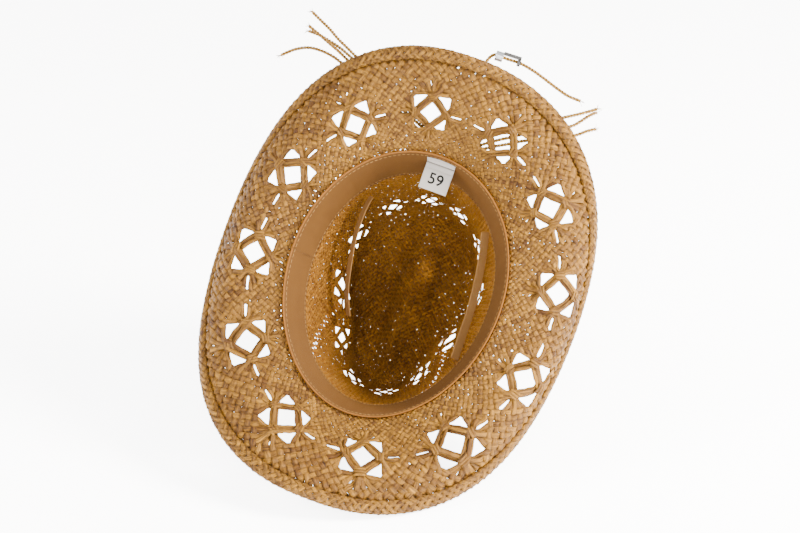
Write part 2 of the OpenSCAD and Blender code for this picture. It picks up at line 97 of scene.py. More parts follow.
# %% [markdown]
# ## A tree of nodes for every strand, cord and stitch
# All of them are the same kind of thing: a flat or round section that follows a line. The line is
# a mesh of edges, and each of its points knows which way is outwards (up), how wide the strand is
# there (wide) and which strand it belongs to (hue). One Geometry Nodes tree turns lines into strands.

# %% The strand tree
def strand_tree():
    tree = bpy.data.node_groups.new("Strands", "GeometryNodeTree")
    face = tree.interface
    for name, kind in (("Geometry", "NodeSocketGeometry"), ("Sides", "NodeSocketInt"),
                       ("Flatness", "NodeSocketFloat"), ("Material", "NodeSocketMaterial")):
        face.new_socket(name, in_out="INPUT", socket_type=kind)
    face.new_socket("Geometry", in_out="OUTPUT", socket_type="NodeSocketGeometry")

    def add(kind, links=(), **values):
        node = tree.nodes.new(kind)
        for key, value in values.items():
            setattr(node, key, value)
        for socket, source in links:
            if isinstance(source, bpy.types.NodeSocket):
                tree.links.new(source, node.inputs[socket])
            else:
                node.inputs[socket].default_value = source
        return node

    start = add("NodeGroupInput").outputs
    line = add("GeometryNodeMeshToCurve", [("Mesh", start["Geometry"])])
    up = add("GeometryNodeInputNamedAttribute", [("Name", "up")], data_type="FLOAT_VECTOR")
    wide = add("GeometryNodeInputNamedAttribute", [("Name", "wide")], data_type="FLOAT")
    turned = add("GeometryNodeSetCurveNormal",
                 [("Curve", line.outputs[0]), ("Normal", up.outputs[0])], mode="FREE")
    ring = add("GeometryNodeCurvePrimitiveCircle", [("Resolution", start["Sides"]), ("Radius", 0.5)])
    flat = add("ShaderNodeCombineXYZ", [("X", start["Flatness"]), ("Y", 1.0), ("Z", 1.0)])
    section = add("GeometryNodeTransform", [("Geometry", ring.outputs[0]), ("Scale", flat.outputs[0])])
    place = add("ShaderNodeSeparateXYZ", [("Vector", add("GeometryNodeInputPosition").outputs[0])])
    marked = add("GeometryNodeStoreNamedAttribute",
                 [("Geometry", section.outputs[0]), ("Name", "across"), ("Value", place.outputs["Y"])],
                 data_type="FLOAT", domain="POINT")
    swept = add("GeometryNodeCurveToMesh",
                [("Curve", turned.outputs[0]), ("Profile Curve", marked.outputs[0]),
                 ("Scale", wide.outputs[0]), ("Fill Caps", True)])
    shaded = add("GeometryNodeSetShadeSmooth", [("Geometry", swept.outputs[0])])
    real = add("GeometryNodeRealizeInstances", [("Geometry", shaded.outputs[0])])
    coat = add("GeometryNodeSetMaterial", [("Geometry", real.outputs[0]), ("Material", start["Material"])])
    add("NodeGroupOutput", [("Geometry", coat.outputs[0])])
    return tree


TREE = strand_tree()
SOCKET = {i.name: i.identifier for i in TREE.interface.items_tree if i.in_out == "INPUT"}


def put(name, mesh, body, slot, *nodes):
    """The mesh becomes a piece that rides on its body and stands for the nodes; its slot is not used."""
    obj = bpy.data.objects.new(name, mesh)
    bpy.context.scene.collection.objects.link(obj)
    print(name, sum(len(p.vertices) - 2 for p in mesh.polygons), "triangles")
    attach(obj, body)
    if nodes:
        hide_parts(*nodes)
    return obj


def strands(name, lines, material, slot, body="hat", nodes=(), sides=6, flatness=0.28, closed=False):
    """Lines in millimetres, each (points, up, wide, hue), become one mesh of strands."""
    count = [len(p) for p, _, _, _ in lines]
    points = np.concatenate([p for p, _, _, _ in lines]) * 0.001
    ups = np.concatenate([np.broadcast_to(u, p.shape) for p, u, _, _ in lines])
    wides = np.concatenate([np.broadcast_to(w, len(p)) for p, _, w, _ in lines]) * 0.001
    hues = np.concatenate([np.full(len(p), h) for p, _, _, h in lines])
    along = np.concatenate([np.concatenate([[0], np.cumsum(np.linalg.norm(np.diff(p, axis=0), axis=1))])
                            for p, _, _, _ in lines]) * 0.001
    starts = np.concatenate([[0], np.cumsum(count)[:-1]])
    edges = np.concatenate([np.stack([np.arange(n - 1), np.arange(1, n)], 1) + s
                            if not closed else
                            np.stack([np.arange(n), (np.arange(n) + 1) % n], 1) + s
                            for n, s in zip(count, starts)])
    mesh = bpy.data.meshes.new(name + ".lines")
    mesh.vertices.add(len(points))
    mesh.vertices.foreach_set("co", points.ravel())
    mesh.edges.add(len(edges))
    mesh.edges.foreach_set("vertices", edges.ravel())
    for key, kind, field, data in (("up", "FLOAT_VECTOR", "vector", ups), ("wide", "FLOAT", "value", wides),
                                   ("hue", "FLOAT", "value", hues), ("along", "FLOAT", "value", along)):
        mesh.attributes.new(key, kind, "POINT").data.foreach_set(field, data.astype(np.float32).ravel())
    source = bpy.data.objects.new(name + ".source", mesh)
    bpy.context.scene.collection.objects.link(source)
    modifier = source.modifiers.new("Strands", "NODES")
    modifier.node_group = TREE
    for key, value in (("Sides", sides), ("Flatness", flatness), ("Material", material)):
        modifier[SOCKET[key]] = value
    evaluated = source.evaluated_get(bpy.context.evaluated_depsgraph_get())
    result = bpy.data.meshes.new_from_object(evaluated)
    result.name = name
    bpy.data.objects.remove(source)
    bpy.data.meshes.remove(mesh)
    return put(name, result, body, slot, *nodes)


def solid(name, verts, faces, material, slot, body="hat", nodes=(), values=None, sleek=True):
    """A closed mesh in millimetres, turned outwards, with any named values at its points."""
    mesh = bpy.data.meshes.new(name)
    mesh.from_pydata([tuple(v) for v in np.asarray(verts) * 0.001], [], [tuple(map(int, f)) for f in faces])
    mesh.polygons.foreach_set("use_smooth", [sleek] * len(mesh.polygons))
    for key, data in (values or {}).items():
        mesh.attributes.new(key, "FLOAT", "POINT").data.foreach_set("value", np.asarray(data, np.float32))
    mesh.materials.append(material)
    mesh.validate()
    edit = bmesh.new()
    edit.from_mesh(mesh)
    inside_out = edit.calc_volume(signed=True) < 0
    edit.free()
    if inside_out:
        mesh.flip_normals()
    return put(name, mesh, body, slot, *nodes)


# %% [markdown]
# ## Materials
# Straw is a dried leaf: long fibres run along each strand, its colour changes from strand to strand
# and along it, and thin strands glow when light comes from behind. The shader's sums are written as
# plain arithmetic by a small class around a socket.

# %% A small class for shader sums
class S:
    """A socket in a material, with arithmetic."""
    def __init__(self, mat, socket):
        self.mat, self.socket = mat, socket

    def op(self, kind, a, b=0.0):
        return self.mat.node("ShaderNodeMath", {"operation": kind}, {0: a, 1: b})

    def __add__(self, b): return self.op("ADD", self, b)
    def __radd__(self, b): return self.op("ADD", b, self)
    def __sub__(self, b): return self.op("SUBTRACT", self, b)
    def __rsub__(self, b): return self.op("SUBTRACT", b, self)
    def __mul__(self, b): return self.op("MULTIPLY", self, b)
    def __rmul__(self, b): return self.op("MULTIPLY", b, self)
    def abs(self): return self.op("ABSOLUTE", self)
    def sin(self): return self.op("SINE", self)
    def clamp(self): return self.op("MINIMUM", self.op("MAXIMUM", self, 0.0), 1.0)
    def power(self, b): return self.op("POWER", self, b)


class Mat:
    """A material, and one method that adds any node to it."""
    def __init__(self, name):
        self.material = bpy.data.materials.new(name)
        self.material.use_nodes = True
        self.tree = self.material.node_tree
        self.shader = self.tree.nodes["Principled BSDF"]

    def node(self, kind, settings=None, sockets=None, output=0):
        made = self.tree.nodes.new(kind)
        for key, value in (settings or {}).items():
            setattr(made, key, value)
        for key, value in (sockets or {}).items():
            if isinstance(value, S):
                self.tree.links.new(value.socket, made.inputs[key])
            elif value is not None:
                made.inputs[key].default_value = value
        return S(self, made.outputs[output])

    def value(self, name):
        return self.node("ShaderNodeAttribute", {"attribute_name": name}, output="Fac")

    def vector(self, x, y, z):
        return self.node("ShaderNodeCombineXYZ", None, {0: x, 1: y, 2: z})

    def noise(self, vector, scale=1.0, detail=3.0, rough=0.6):
        return self.node("ShaderNodeTexNoise", None,
                         {"Vector": vector, "Scale": scale, "Detail": detail, "Roughness": rough})

    def mix(self, factor, a, b):
        return self.node("ShaderNodeMix", {"data_type": "RGBA"}, {0: factor, 6: a, 7: b}, output=2)

    def bump(self, height, distance):
        return self.node("ShaderNodeBump", None, {"Height": height, "Distance": distance, "Strength": 1.0})

    def finish(self, glow=None, **sockets):
        names = {"color": "Base Color", "rough": "Roughness", "metal": "Metallic", "normal": "Normal",
                 "specular": "Specular IOR Level"}
        for key, value in sockets.items():
            target = self.shader.inputs[names[key]]
            if isinstance(value, S):
                self.tree.links.new(value.socket, target)
            else:
                target.default_value = value
        if glow:
            share, color = glow
            thin = self.node("ShaderNodeBsdfTranslucent", None, {"Color": color})
            end = self.node("ShaderNodeMixShader", None,
                            {0: share, 1: S(self, self.shader.outputs[0]), 2: thin})
            self.tree.links.new(end.socket, self.tree.nodes["Material Output"].inputs["Surface"])
        return self.material


# %% Straw, cord, cloth, label and metal
def opaque(*colors):
    return [(*c, 1.0) for c in colors]


def straw(name, dark, mid, light, glow):
    m = Mat(name)
    dark, mid, light = opaque(dark, mid, light)
    hue, along, across = m.value("hue"), m.value("along"), m.value("across")
    fibres = m.noise(m.vector(along * 70.0, across * 15.0, hue * 91.0), 1.0, 6.0, 0.70)
    patch = m.noise(m.vector(along * 60.0, hue * 57.0, 3.0), 1.0, 2.0)
    tone = (hue * 0.55 + patch * 1.1 + fibres * 1.5 - 1.12).clamp()
    warm = m.mix(tone, mid, light)
    line = ((fibres - 0.36) * 6.0).clamp()
    # Painted shade: every strand is darkened towards both of its side edges, standing in for the shade where
    # neighbouring strands meet.
    side = (across.abs() * 2.0).power(3.0) * 0.8
    color = m.mix((line * (1.0 - side)).clamp(), dark, warm)
    rough = 0.62 - fibres * 0.22
    normal = m.bump(fibres, 0.0011)
    return m.finish(glow=(glow, light), color=color, rough=rough, normal=normal, specular=0.16)


def cloth(name, low, high, pitch, glow=0.0, rough=0.75):
    """Woven cloth: fine slanting lines over a soft change of shade."""
    m = Mat(name)
    low, high = opaque(low, high)
    a, b = m.value("along"), m.value("height")
    lines = ((a + b) * (6.2832 / pitch)).sin() * 0.5 + 0.5
    cross = ((a - b) * (6.2832 / pitch)).sin() * 0.5 + 0.5
    weave = lines * 0.75 + cross * 0.25
    worn = m.noise(m.vector(a * 30.0, b * 60.0, 0.0), 1.0, 4.0)
    color = m.mix((weave * 0.35 + worn * 0.8).clamp(), low, high)
    return m.finish(glow=(glow, high) if glow else None, color=color, rough=rough,
                    normal=m.bump(weave, 0.00012), specular=0.12)


def metal(name, color, spread):
    m = Mat(name)
    place = m.node("ShaderNodeTexCoord", output="Object")
    scratch = m.noise(place, 900.0, 3.0)
    dull = m.noise(place, 140.0, 4.0)
    tone = m.mix(dull, *opaque([c * 0.6 for c in color], color))
    return m.finish(color=tone, rough=0.22 + scratch * spread, metal=1.0, normal=m.bump(scratch, 0.00004))


STRAW_MAT = straw("Straw", (0.006, 0.0014, 0.0001), (0.056, 0.0174, 0.0007),
                  (0.31, 0.140, 0.012), 0.09)
# Painted light: the crown's copy of the straw is made lighter than the brim's, to make up for the light that
# reaches the inside of the crown.
CROWN_PAINTED_LIGHT_MAT = straw("StrawWall", (0.020, 0.0052, 0.0004), (0.155, 0.0550, 0.0026),
                  (0.45, 0.190, 0.018), 0.26)
CORD_MAT = straw("CordStraw", (0.045, 0.016, 0.0015), (0.19, 0.082, 0.009),
                  (0.46, 0.250, 0.045), 0.04)
BAND_MAT = cloth("BandTwill", (0.038, 0.0142, 0.0016), (0.068, 0.0275, 0.0036), 0.0011)
PIPE_MAT = cloth("PipingCloth", (0.080, 0.027, 0.003), (0.145, 0.055, 0.007), 0.0009)
TAPE_MAT = cloth("StrapTape", (0.13, 0.060, 0.016), (0.23, 0.115, 0.036), 0.0012)
LABEL_MAT = cloth("LabelSatin", (0.25, 0.225, 0.20), (0.33, 0.30, 0.275), 0.0007,
                  glow=0.1, rough=0.45)
THREAD_MAT = cloth("Thread", (0.16, 0.080, 0.022), (0.25, 0.135, 0.045), 0.0006)
INK_MAT = cloth("LabelInk", (0.001, 0.001, 0.0012), (0.003, 0.003, 0.0034), 0.0007)
STEEL_MAT = metal("CharmSteel", (0.62, 0.62, 0.63), 0.25)
DARK_MAT = metal("CharmDark", (0.10, 0.095, 0.09), 0.3)
SLIDER_MAT = metal("SliderMetal", (0.42, 0.43, 0.45), 0.35)
WIRE_MAT = metal("ShapingWire", (0.45, 0.45, 0.46), 0.2)

# %% [markdown]
# ## The loose cord ends
# Eight ends of the hatband's cord leave the knot at the back and fall over the brim. Each is laid
# from two plies twisted round each other, so it is drawn as two helices round its route.

# %% Routes of the cord ends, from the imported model
ROUTES = {
    "tail_a": [
        [-2, 117.5, 10.5], [7, 121, 5], [14.5, 124.5, -2], [23.5, 128, -7],
        [33, 132.5, -9], [43, 136.5, -11], [53, 140.5, -12.5], [63, 145, -13],
        [73, 149, -11.5], [82.5, 153, -8.5], [92, 157, -5], [101.5, 161.5, -3],
        [111, 166, -1], [120.5, 171.5, 1.5], [130, 176, 4], [139.5, 180.5, 6]],
    "tail_b": [
        [0.5, 115, 10.5], [9, 118.5, 5.5], [16.5, 121.5, -1], [24.5, 125, -6],
        [33.5, 129, -8], [43, 133, -10], [52.5, 137, -11.5], [62, 141, -12],
        [71.5, 145, -11.5], [80.5, 148.5, -9], [89.5, 152.5, -5.5], [98.5, 156.5, -3],
        [108, 160, -1.5], [118, 162.5, 0], [127.5, 164.5, 2.5], [137, 165.5, 7]],
    "tail_c": [
        [0.5, 112.5, 10.5], [9, 116, 6], [16.5, 119, 0], [24.5, 122.5, -4.5],
        [33.5, 126, -7], [43, 130, -9], [52, 134, -10.5], [61.5, 137.5, -11.5],
        [70.5, 141.5, -11.5], [80, 145.5, -9], [88.5, 149, -6], [97.5, 152.5, -2.5],
        [106.5, 156.5, -2], [116, 160, -3.5], [125.5, 163.5, -5.5], [135, 167, -6]],
    "tail_d": [
        [-2.5, 109.5, 8.5], [8, 113, 5], [17, 116, 0], [26.5, 120, -4.5],
        [37, 124.5, -6.5], [47.5, 128.5, -8.5], [58, 132.5, -10.5], [68.5, 136.5, -10.5],
        [79, 140.5, -9.5], [89.5, 144.5, -6.5], [99, 148, -1.5], [109.5, 151.5, 0.5],
        [120.5, 153, 1.5], [131.5, 152.5, 4.5], [141.5, 148, 6.5], [150, 139.5, 4]],
    "tail_e": [
        [-4, 117, 10.5], [-5, 125.5, 2.5], [-5.5, 131.5, -7], [-6, 140.5, -12],
        [-7, 150.5, -16], [-7.5, 160.5, -20.5], [-8, 171, -23.5], [-9, 181, -27.5],
        [-13, 190.5, -25.5], [-23.5, 191, -24], [-34, 191.5, -22], [-44.5, 190, -19.5],
        [-54.5, 187.5, -16.5], [-65, 184.5, -13.5], [-75.5, 182, -11], [-86, 181.5, -10]],
    "tail_f": [
        [-6.5, 116, 10.5], [-13, 120.5, 6], [-17.5, 123.5, 0], [-22.5, 127, -6],
        [-28.5, 131, -9], [-35.5, 135.5, -10.5], [-42, 140, -12.5], [-48.5, 144.5, -13.5],
        [-55.5, 149.5, -14], [-62, 154, -13], [-68.5, 158.5, -11.5], [-75, 163, -9.5],
        [-81.5, 167.5, -7.5], [-87.5, 172, -4.5], [-93.5, 177, -1], [-99.5, 182, 1]],
    "tail_g": [
        [-8, 113.5, 10.5], [-14, 117.5, 6], [-19.5, 120.5, 0.5], [-25, 124, -5],
        [-31.5, 128, -7.5], [-38.5, 132.5, -9.5], [-45.5, 136.5, -11], [-52.5, 141, -12],
        [-59.5, 145, -12.5], [-66.5, 149.5, -12], [-73, 153.5, -10], [-80, 158, -7.5],
        [-86.5, 162, -4.5], [-91, 168, -1.5], [-95, 174.5, 2], [-99, 180, 7]],
    "tail_h": [
        [-7, 110.5, 10.5], [-13.5, 114, 7], [-19, 117, 2], [-24.5, 120, -3],
        [-31, 123.5, -6], [-38, 127.5, -7.5], [-45, 131, -9.5], [-51.5, 135, -10.5],
        [-58.5, 138.5, -11.5], [-65.5, 142.5, -11.5], [-73, 146.5, -10.5], [-79.5, 150, -8.5],
        [-86, 153.5, -5], [-92, 157, -2], [-98, 162.5, -0.5], [-103.5, 167, 3]],
}


def eased(route, step=0.7):
    """A smooth line through the route's points, with even steps."""
    p = np.array(route, float)
    p = np.concatenate([[2 * p[0] - p[1]], p, [2 * p[-1] - p[-2]]])
    k = np.linspace(0, 1, 24, endpoint=False)[:, None]
    out = [0.5 * (2 * b + (c - a) * k + (2 * a - 5 * b + 4 * c - d) * k ** 2
                  + (3 * b - a - 3 * c + d) * k ** 3)
           for a, b, c, d in zip(p[:-3], p[1:-2], p[2:-1], p[3:])]
    line = np.concatenate(out + [p[-2:-1]])
    far = np.concatenate([[0], np.cumsum(np.linalg.norm(np.diff(line, axis=0), axis=1))])
    at = np.linspace(0, far[-1], int(far[-1] / step))
    return np.stack([np.interp(at, far, line[:, k]) for k in range(3)], 1), far[-1]


def plies(path, d, pitch, seed, closed=False):
    """Two plies that twist round a path, each a line for the strand tree."""
    around = (lambda p, k: np.roll(p, -k, 0)) if closed else None
    tangent = unit(around(path, 1) - around(path, -1)) if closed else unit(np.gradient(path, axis=0))
    g = unit(np.cross(tangent, np.array([0.05, 0.08, 1.0])))
    h = np.cross(tangent, g)
    gaps = np.linalg.norm((around(path, 1) if closed else path[1:]) - (path if closed else path[:-1]), axis=1)
    far = np.concatenate([[0], np.cumsum(gaps)])
    turns = far[-1] / pitch
    if closed:
        turns, far = round(turns), far[:-1]
    angle = 2 * math.pi * turns * far / (far[-1] if not closed else far[-1] + gaps[-1])
    r = np.random.default_rng(seed)
    lines = []
    for k in range(2):
        a = (angle + math.pi * k)[:, None]
        out = np.cos(a) * g + np.sin(a) * h
        lines.append((path + out * d * 0.24, out, d * 0.56, r.uniform(0, 1)))
    return lines


# %% The eight cord ends
for k, (name, route) in enumerate(ROUTES.items()):
    path, length = eased(route)
    lines, hairs = plies(path, 1.4 * TAIL_D, 5.2, 100 + k), []
    ahead = unit(path[-1:] - path[-3:-2])[0]
    for j in range(7):
        r = np.random.default_rng(500 + 10 * k + j)
        off = unit(ahead + 0.55 * r.normal(size=3))
        hair = path[-1] + np.linspace(-1.5, r.uniform(1.5, 4.5), 6)[:, None] * off
        hairs.append((hair, np.array([0.3, 0.2, 1.0]), 0.32, r.uniform(0, 1)))
    node = "tail_d_cord" if name == "tail_d" else name
    piece = strands("Cord_" + name, lines, CORD_MAT, "cord_straw", nodes=[node], sides=6, flatness=0.9)
    frayed = strands("Fray_" + name, hairs, CORD_MAT, "cord_straw", sides=5, flatness=0.9)
    line = path * 0.001
    print(name, "is", round(length), "mm long")

# %% [markdown]
# ## The hat's surface
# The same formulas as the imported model's: the brim goes out straight, then rolls up at the sides;
# the crown's wall leans in and turns into a tip with a long crease and two dents at the front.

# %% Formulas of the brim and the crown (angles in radians, from +X towards the back)
def oval(t, ax, by):
    return np.stack([ax * np.cos(t) * (1 + EGG * np.sin(t)), by * np.sin(t), 0 * t], -1)


def out_dir(t):
    return unit(np.stack([np.cos(t) / BASE_X, np.sin(t) / BASE_Y, 0 * t], -1))


def brim_w(t):
    return np.where(np.sin(t) > 0, BACK_W, FRONT_W) * np.sin(t) ** 2 + SIDE_W * np.cos(t) ** 2


def brim_slope(t):
    return -np.radians(np.where(np.sin(t) > 0, 24.0, 36.0)) * np.sin(t) ** 2


def brim_roll(t):
    side = np.where(np.cos(t) > 0, 88.0, 103.0) * np.abs(np.cos(t)) ** 1.4
    return np.radians(side + np.where(np.sin(t) > 0, 0, 21.0) * np.sin(t) ** 2 + 0.01)


FLAT_W = 28.0


def brim(t, s):
    """Point and upward normal at s mm out from the crown."""
    a, roll, length = brim_slope(t), brim_roll(t), brim_w(t) - FLAT_W
    b = a + roll * np.maximum(0, (s - FLAT_W) / length)
    s1, k = np.minimum(s, FLAT_W), np.where(s > FLAT_W, length / roll, 0)
    r = s1 * np.cos(a) + k * (np.sin(b) - np.sin(a))
    z = s1 * np.sin(a) + k * (np.cos(a) - np.cos(b))
    n = out_dir(t)
    point = oval(t, BASE_X, BASE_Y) + r[..., None] * n
    point[..., 2] += z
    normal = -np.sin(b)[..., None] * n
    normal[..., 2] += np.cos(b)
    return point, normal


def dented(p):
    x, y, z = p[..., 0], p[..., 1], p[..., 2]
    rise = np.clip((z - WALL_H) / (CROWN_H - WALL_H), 0, 1)
    crease = 28.0 * np.exp(-(x / 13.0) ** 2) * np.exp(-((y + 6) / 58.0) ** 4)
    dent = 13.0 * np.exp(-((y + 34) / 30.0) ** 2) * np.exp(-((z - 88) / 24.0) ** 2)
    return np.stack([x - np.sign(x) * np.minimum(np.abs(x) * 0.3, dent), y, z - crease * rise], -1)


def wall(t, z):
    scale_x, scale_y = BASE_X - LEAN_X * z, BASE_Y - LEAN_Y * z
    p = oval(t, scale_x, scale_y)
    p[..., 2] = z
    return p


def tip(t, w):
    k = np.cos(math.pi / 2 * w) ** 0.8
    p = oval(t, (BASE_X - LEAN_X * WALL_H) * k, (BASE_Y - LEAN_Y * WALL_H) * k)
    p[..., 2] = WALL_H + (CROWN_H - WALL_H) * np.sin(math.pi / 2 * w) ** 0.9
    return p


def crown_point(t, z):
    """z up to the wall's height is the wall, beyond it the tip's share in hundredths."""
    w = np.clip((z - WALL_H) / 100.0, 0, 0.98)
    return dented(np.where((z <= WALL_H)[..., None], wall(t, np.minimum(z, WALL_H)), tip(t, w)))


def crown(t, z):
    """Point and outward normal of the crown."""
    e = 0.004
    a = crown_point(t + e, z) - crown_point(t - e, z)
    b = crown_point(t, z + 0.4) - crown_point(t, z - 0.4)
    return crown_point(t, z), unit(np.cross(a, b))


def turn(u):
    """The angle round the hat of strand number u; the stars are a little closer on one side."""
    a = np.radians(84.0 + 30.0 * u / PER_STAR)
    return a - math.radians(5.0) * (1 - np.cos(a - math.radians(20.0)))


def ring_mid(t):
    return 33.0 - 6.0 * np.cos(t - math.radians(10.0))


# %% [markdown]
# ## A grid that keeps the weave square
# A woven cell is as deep as it is wide, so the strands get wider as the brim gets longer towards its
# edge. Number m counts cells outwards from the middle of the star ring: its step at each place is the
# distance between neighbouring strands there. A table turns (u, m) back into a place on the surface.

# %% Tables for the brim and the crown
class Grid:
    def __init__(self, surface, low, high, middle):
        self.surface = surface
        self.us = np.linspace(0, ROUND, 4 * ROUND + 1)
        ss = np.linspace(low, high, 260)
        t = turn(self.us)[:, None] + 0 * ss
        s = ss + 0 * t
        wide = np.linalg.norm(surface(turn(self.us + 0.05)[:, None] + 0 * ss, s)[0]
                              - surface(turn(self.us - 0.05)[:, None] + 0 * ss, s)[0], axis=-1) / 0.1
        deep = np.linalg.norm(np.diff(surface(t, s)[0], axis=1), axis=-1)
        m = np.concatenate([0 * t[:, :1], np.cumsum(deep * 2 / (wide[:, 1:] + wide[:, :-1]), 1)], 1)
        zero = [np.interp(middle(turn(u)), ss, row) for u, row in zip(self.us, m)]
        m -= np.array(zero)[:, None]
        self.ms = np.linspace(m.min(), m.max(), 400)
        self.table = np.stack([np.interp(self.ms, row, ss, left=low - 9, right=high + 9) for row in m])
        self.size = np.stack([np.interp(self.ms, row, w) for row, w in zip(m, wide)])
        self.low, self.high = low, high

    def look(self, table, u, m):
        x = np.mod(u, ROUND) * 4
        y = np.clip((m - self.ms[0]) / (self.ms[1] - self.ms[0]), 0, len(self.ms) - 1.001)
        i, j = np.minimum(x.astype(int), len(self.us) - 2), y.astype(int)
        a, b = x - i, y - j
        return ((1 - a) * (1 - b) * table[i, j] + a * (1 - b) * table[i + 1, j]
                + (1 - a) * b * table[i, j + 1] + a * b * table[i + 1, j + 1])

    def at(self, u, m):
        """Point, normal, place s and strand spacing at (u, m)."""
        s = self.look(self.table, u, m)
        size = self.look(self.size, u, m)
        p, n = self.surface(turn(u), np.clip(s, self.low, self.high))
        return p, n, s, size


BRIM = Grid(brim, 0.0, SIDE_W, ring_mid)
CROWN = Grid(crown, -1.4, 108.0, lambda t: RING_Z + 0 * t)
print("brim cells", round(BRIM.ms[0], 1), "to", round(BRIM.ms[-1], 1),
      "crown cells", round(CROWN.ms[0], 1), "to", round(CROWN.ms[-1], 1))

# %% [markdown]
# ## The weave
# In the coordinates p = u - m and q = u + m each strand keeps one number. Every twelve strands make
# a star: near its centre the strands of each family gather into two tight bundles, which cross at four
# knots, and fan out again beyond them. What they leave open is a diamond with six holes round it.

# %% One family of strands
GATHER, TIGHT = 2.4, 0.25
FAN_FROM, FAN_TO, IN_STAR = 3.3, 5.8, 5


def family(grid, hand, low, high, per_cell, lift_by, wide_by, seed):
    """Lines of all the strands of one hand (+1 or -1) between s = low and s = high."""
    lines = []
    m = np.arange(grid.ms[0] - 0.5, grid.ms[-1] + 0.5, 0.5 / per_cell)
    for i in range(ROUND):
        own = i + 0.5
        other = own + 2 * hand * m
        star = PER_STAR * round(own / PER_STAR)
        a, b = own - star, other - star
        side = GATHER if a > 0 else -GATHER
        early = 0.9 * (a * b < 0) * abs(a) / IN_STAR
        loose = 1 + 0 * b
        if abs(a) < IN_STAR:
            loose = smooth(np.abs(b), FAN_FROM - early, FAN_TO - early)
        r = np.random.default_rng(seed * 1000 + i)
        wave = wobble(m * 2, seed * 77 + i)
        squeeze = TIGHT + (1 - TIGHT) * loose
        moved = star + side + (a - side) * squeeze + wave * (0.075 * loose + 0.035)
        u, mm = (moved + other) / 2, hand * (other - moved) / 2
        p, n, s, size = grid.at(u, mm)
        keep = (s > low(turn(u))) & (s < high(turn(u)))
        if keep.sum() < 4:
            continue
        first = np.argmax(keep)
        run = slice(first, first + int(np.argmin(np.append(keep[first:], False))))
        p, n, size, loose, b, mm = (x[run] for x in (p, n, size, loose, b, mm))
        if len(p) < 4:
            continue
        pitch = size / math.sqrt(2)
        over = np.cos(math.pi * (other[run] - 0.5)) * (-1) ** i * hand
        fade = np.exp(-(np.maximum(0, np.abs(b) - 3) / 1.5) ** 2)
        bundle = np.sin(math.pi * b / 5.7) * np.sign(side) * hand * fade
        stack = r.uniform(-0.32, 0.32) * pitch
        lift = (lift_by * pitch * over * (0.15 + 0.85 * loose)
                + (1 - loose) * (0.20 * pitch * bundle + stack))
        lift = lift + 0.035 * pitch * wobble(m[run] * 5, seed * 31 + i)
        if grid is BRIM:
            edge = high(turn(u[run]))
            lift = lift + 2.2 * smooth(s[run], edge - 5.0, edge - 2.2)
        line = p + n * lift[:, None]
        tangent = unit(np.gradient(line, axis=0))
        across = unit(np.cross(n, tangent))
        lean = 0.10 * wobble(m[run] * 3, seed * 13 + i) + (1 - loose) * r.uniform(-0.5, 0.5)
        uneven = 1 + 0.07 * wobble(m[run] * 4, seed * 17 + i)
        wide = wide_by * pitch * (0.72 + 0.28 * loose) * uneven
        lines.append((line, unit(n + across * lean[:, None]), wide, r.uniform(0, 1)))
    return lines


def in_parts(name, lines, parts, **how):
    """The same lines as several pieces, so that none has too many triangles."""
    cut = [lines[len(lines) * k // parts:len(lines) * (k + 1) // parts] for k in range(parts)]
    return [strands(f"{name}{k + 1}", some, **how) for k, some in enumerate(cut)]


# %% The brim's weave, from the crown out to the fold of the hem
for hand in (1, -1):
    lines = family(BRIM, hand, lambda t: 0.2 + 0 * t, lambda t: brim_w(t) - HEM_W + 2.0,
                   4, 0.135, 1.13, 7 + hand)
    nodes = ["brim_inner_weave", "brim_openwork", "brim_outer_weave"] if hand > 0 else []
    for k, piece in enumerate(in_parts("BrimWeave" + "LR"[hand > 0], lines, 2,
                                       material=STRAW_MAT, slot="straw", flatness=0.24)):
        if nodes and k == 0:
            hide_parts(*nodes)

# %% The crown's wall and star ring
for hand in (1, -1):
    lines = family(CROWN, hand, lambda t: -1.0 + 0 * t, lambda t: 94.0 + 0 * t,
                   3, 0.14, 1.11, 17 + hand)
    nodes = ["crown_wall", "crown_openwork"] if hand > 0 else []
    for k, piece in enumerate(in_parts("WallWeave" + "LR"[hand > 0], lines, 2,
                                       material=CROWN_PAINTED_LIGHT_MAT, slot="straw", sides=4, flatness=0.28)):
        if nodes and k == 0:
            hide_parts(*nodes)

# %% [markdown]
# ## The tip of the crown
# Weaving starts at the middle of the tip with a plain mat, so its strands run straight across in two
# directions. The mat is laid out flat first: distance from the middle on the flat mat is distance along
# the surface, which is how a real mat is pressed over a block.

# %% The mat over the tip
ws = np.linspace(0, 1, 200)
mean_x, mean_y = BASE_X - LEAN_X * WALL_H, BASE_Y - LEAN_Y * WALL_H
profile = np.stack([(mean_x + mean_y) / 2 * np.cos(math.pi / 2 * ws) ** 0.8,
                    WALL_H + (CROWN_H - WALL_H) * np.sin(math.pi / 2 * ws) ** 0.9], 1)
arc = np.concatenate([[0], np.cumsum(np.linalg.norm(np.diff(profile, axis=0), axis=1))])
to_rim = arc[-1] - arc
REACH = to_rim[0]
stretch = REACH / ((mean_x + mean_y) / 2)


def mat_point(x, y):
    """A place on the flat mat, carried to the tip of the crown."""
    a, b = mean_x * stretch, mean_y * stretch
    share = np.hypot(x / a, y / b)
    t = np.arctan2(y / b, x / a)
    w = np.interp(share * REACH, to_rim[::-1], ws[::-1])
    down = np.maximum(0, share * REACH - REACH)
    beyond = wall(t, WALL_H - down * 0.94)
    return np.where((share <= 1)[..., None], dented(tip(t, w)), dented(beyond)), share


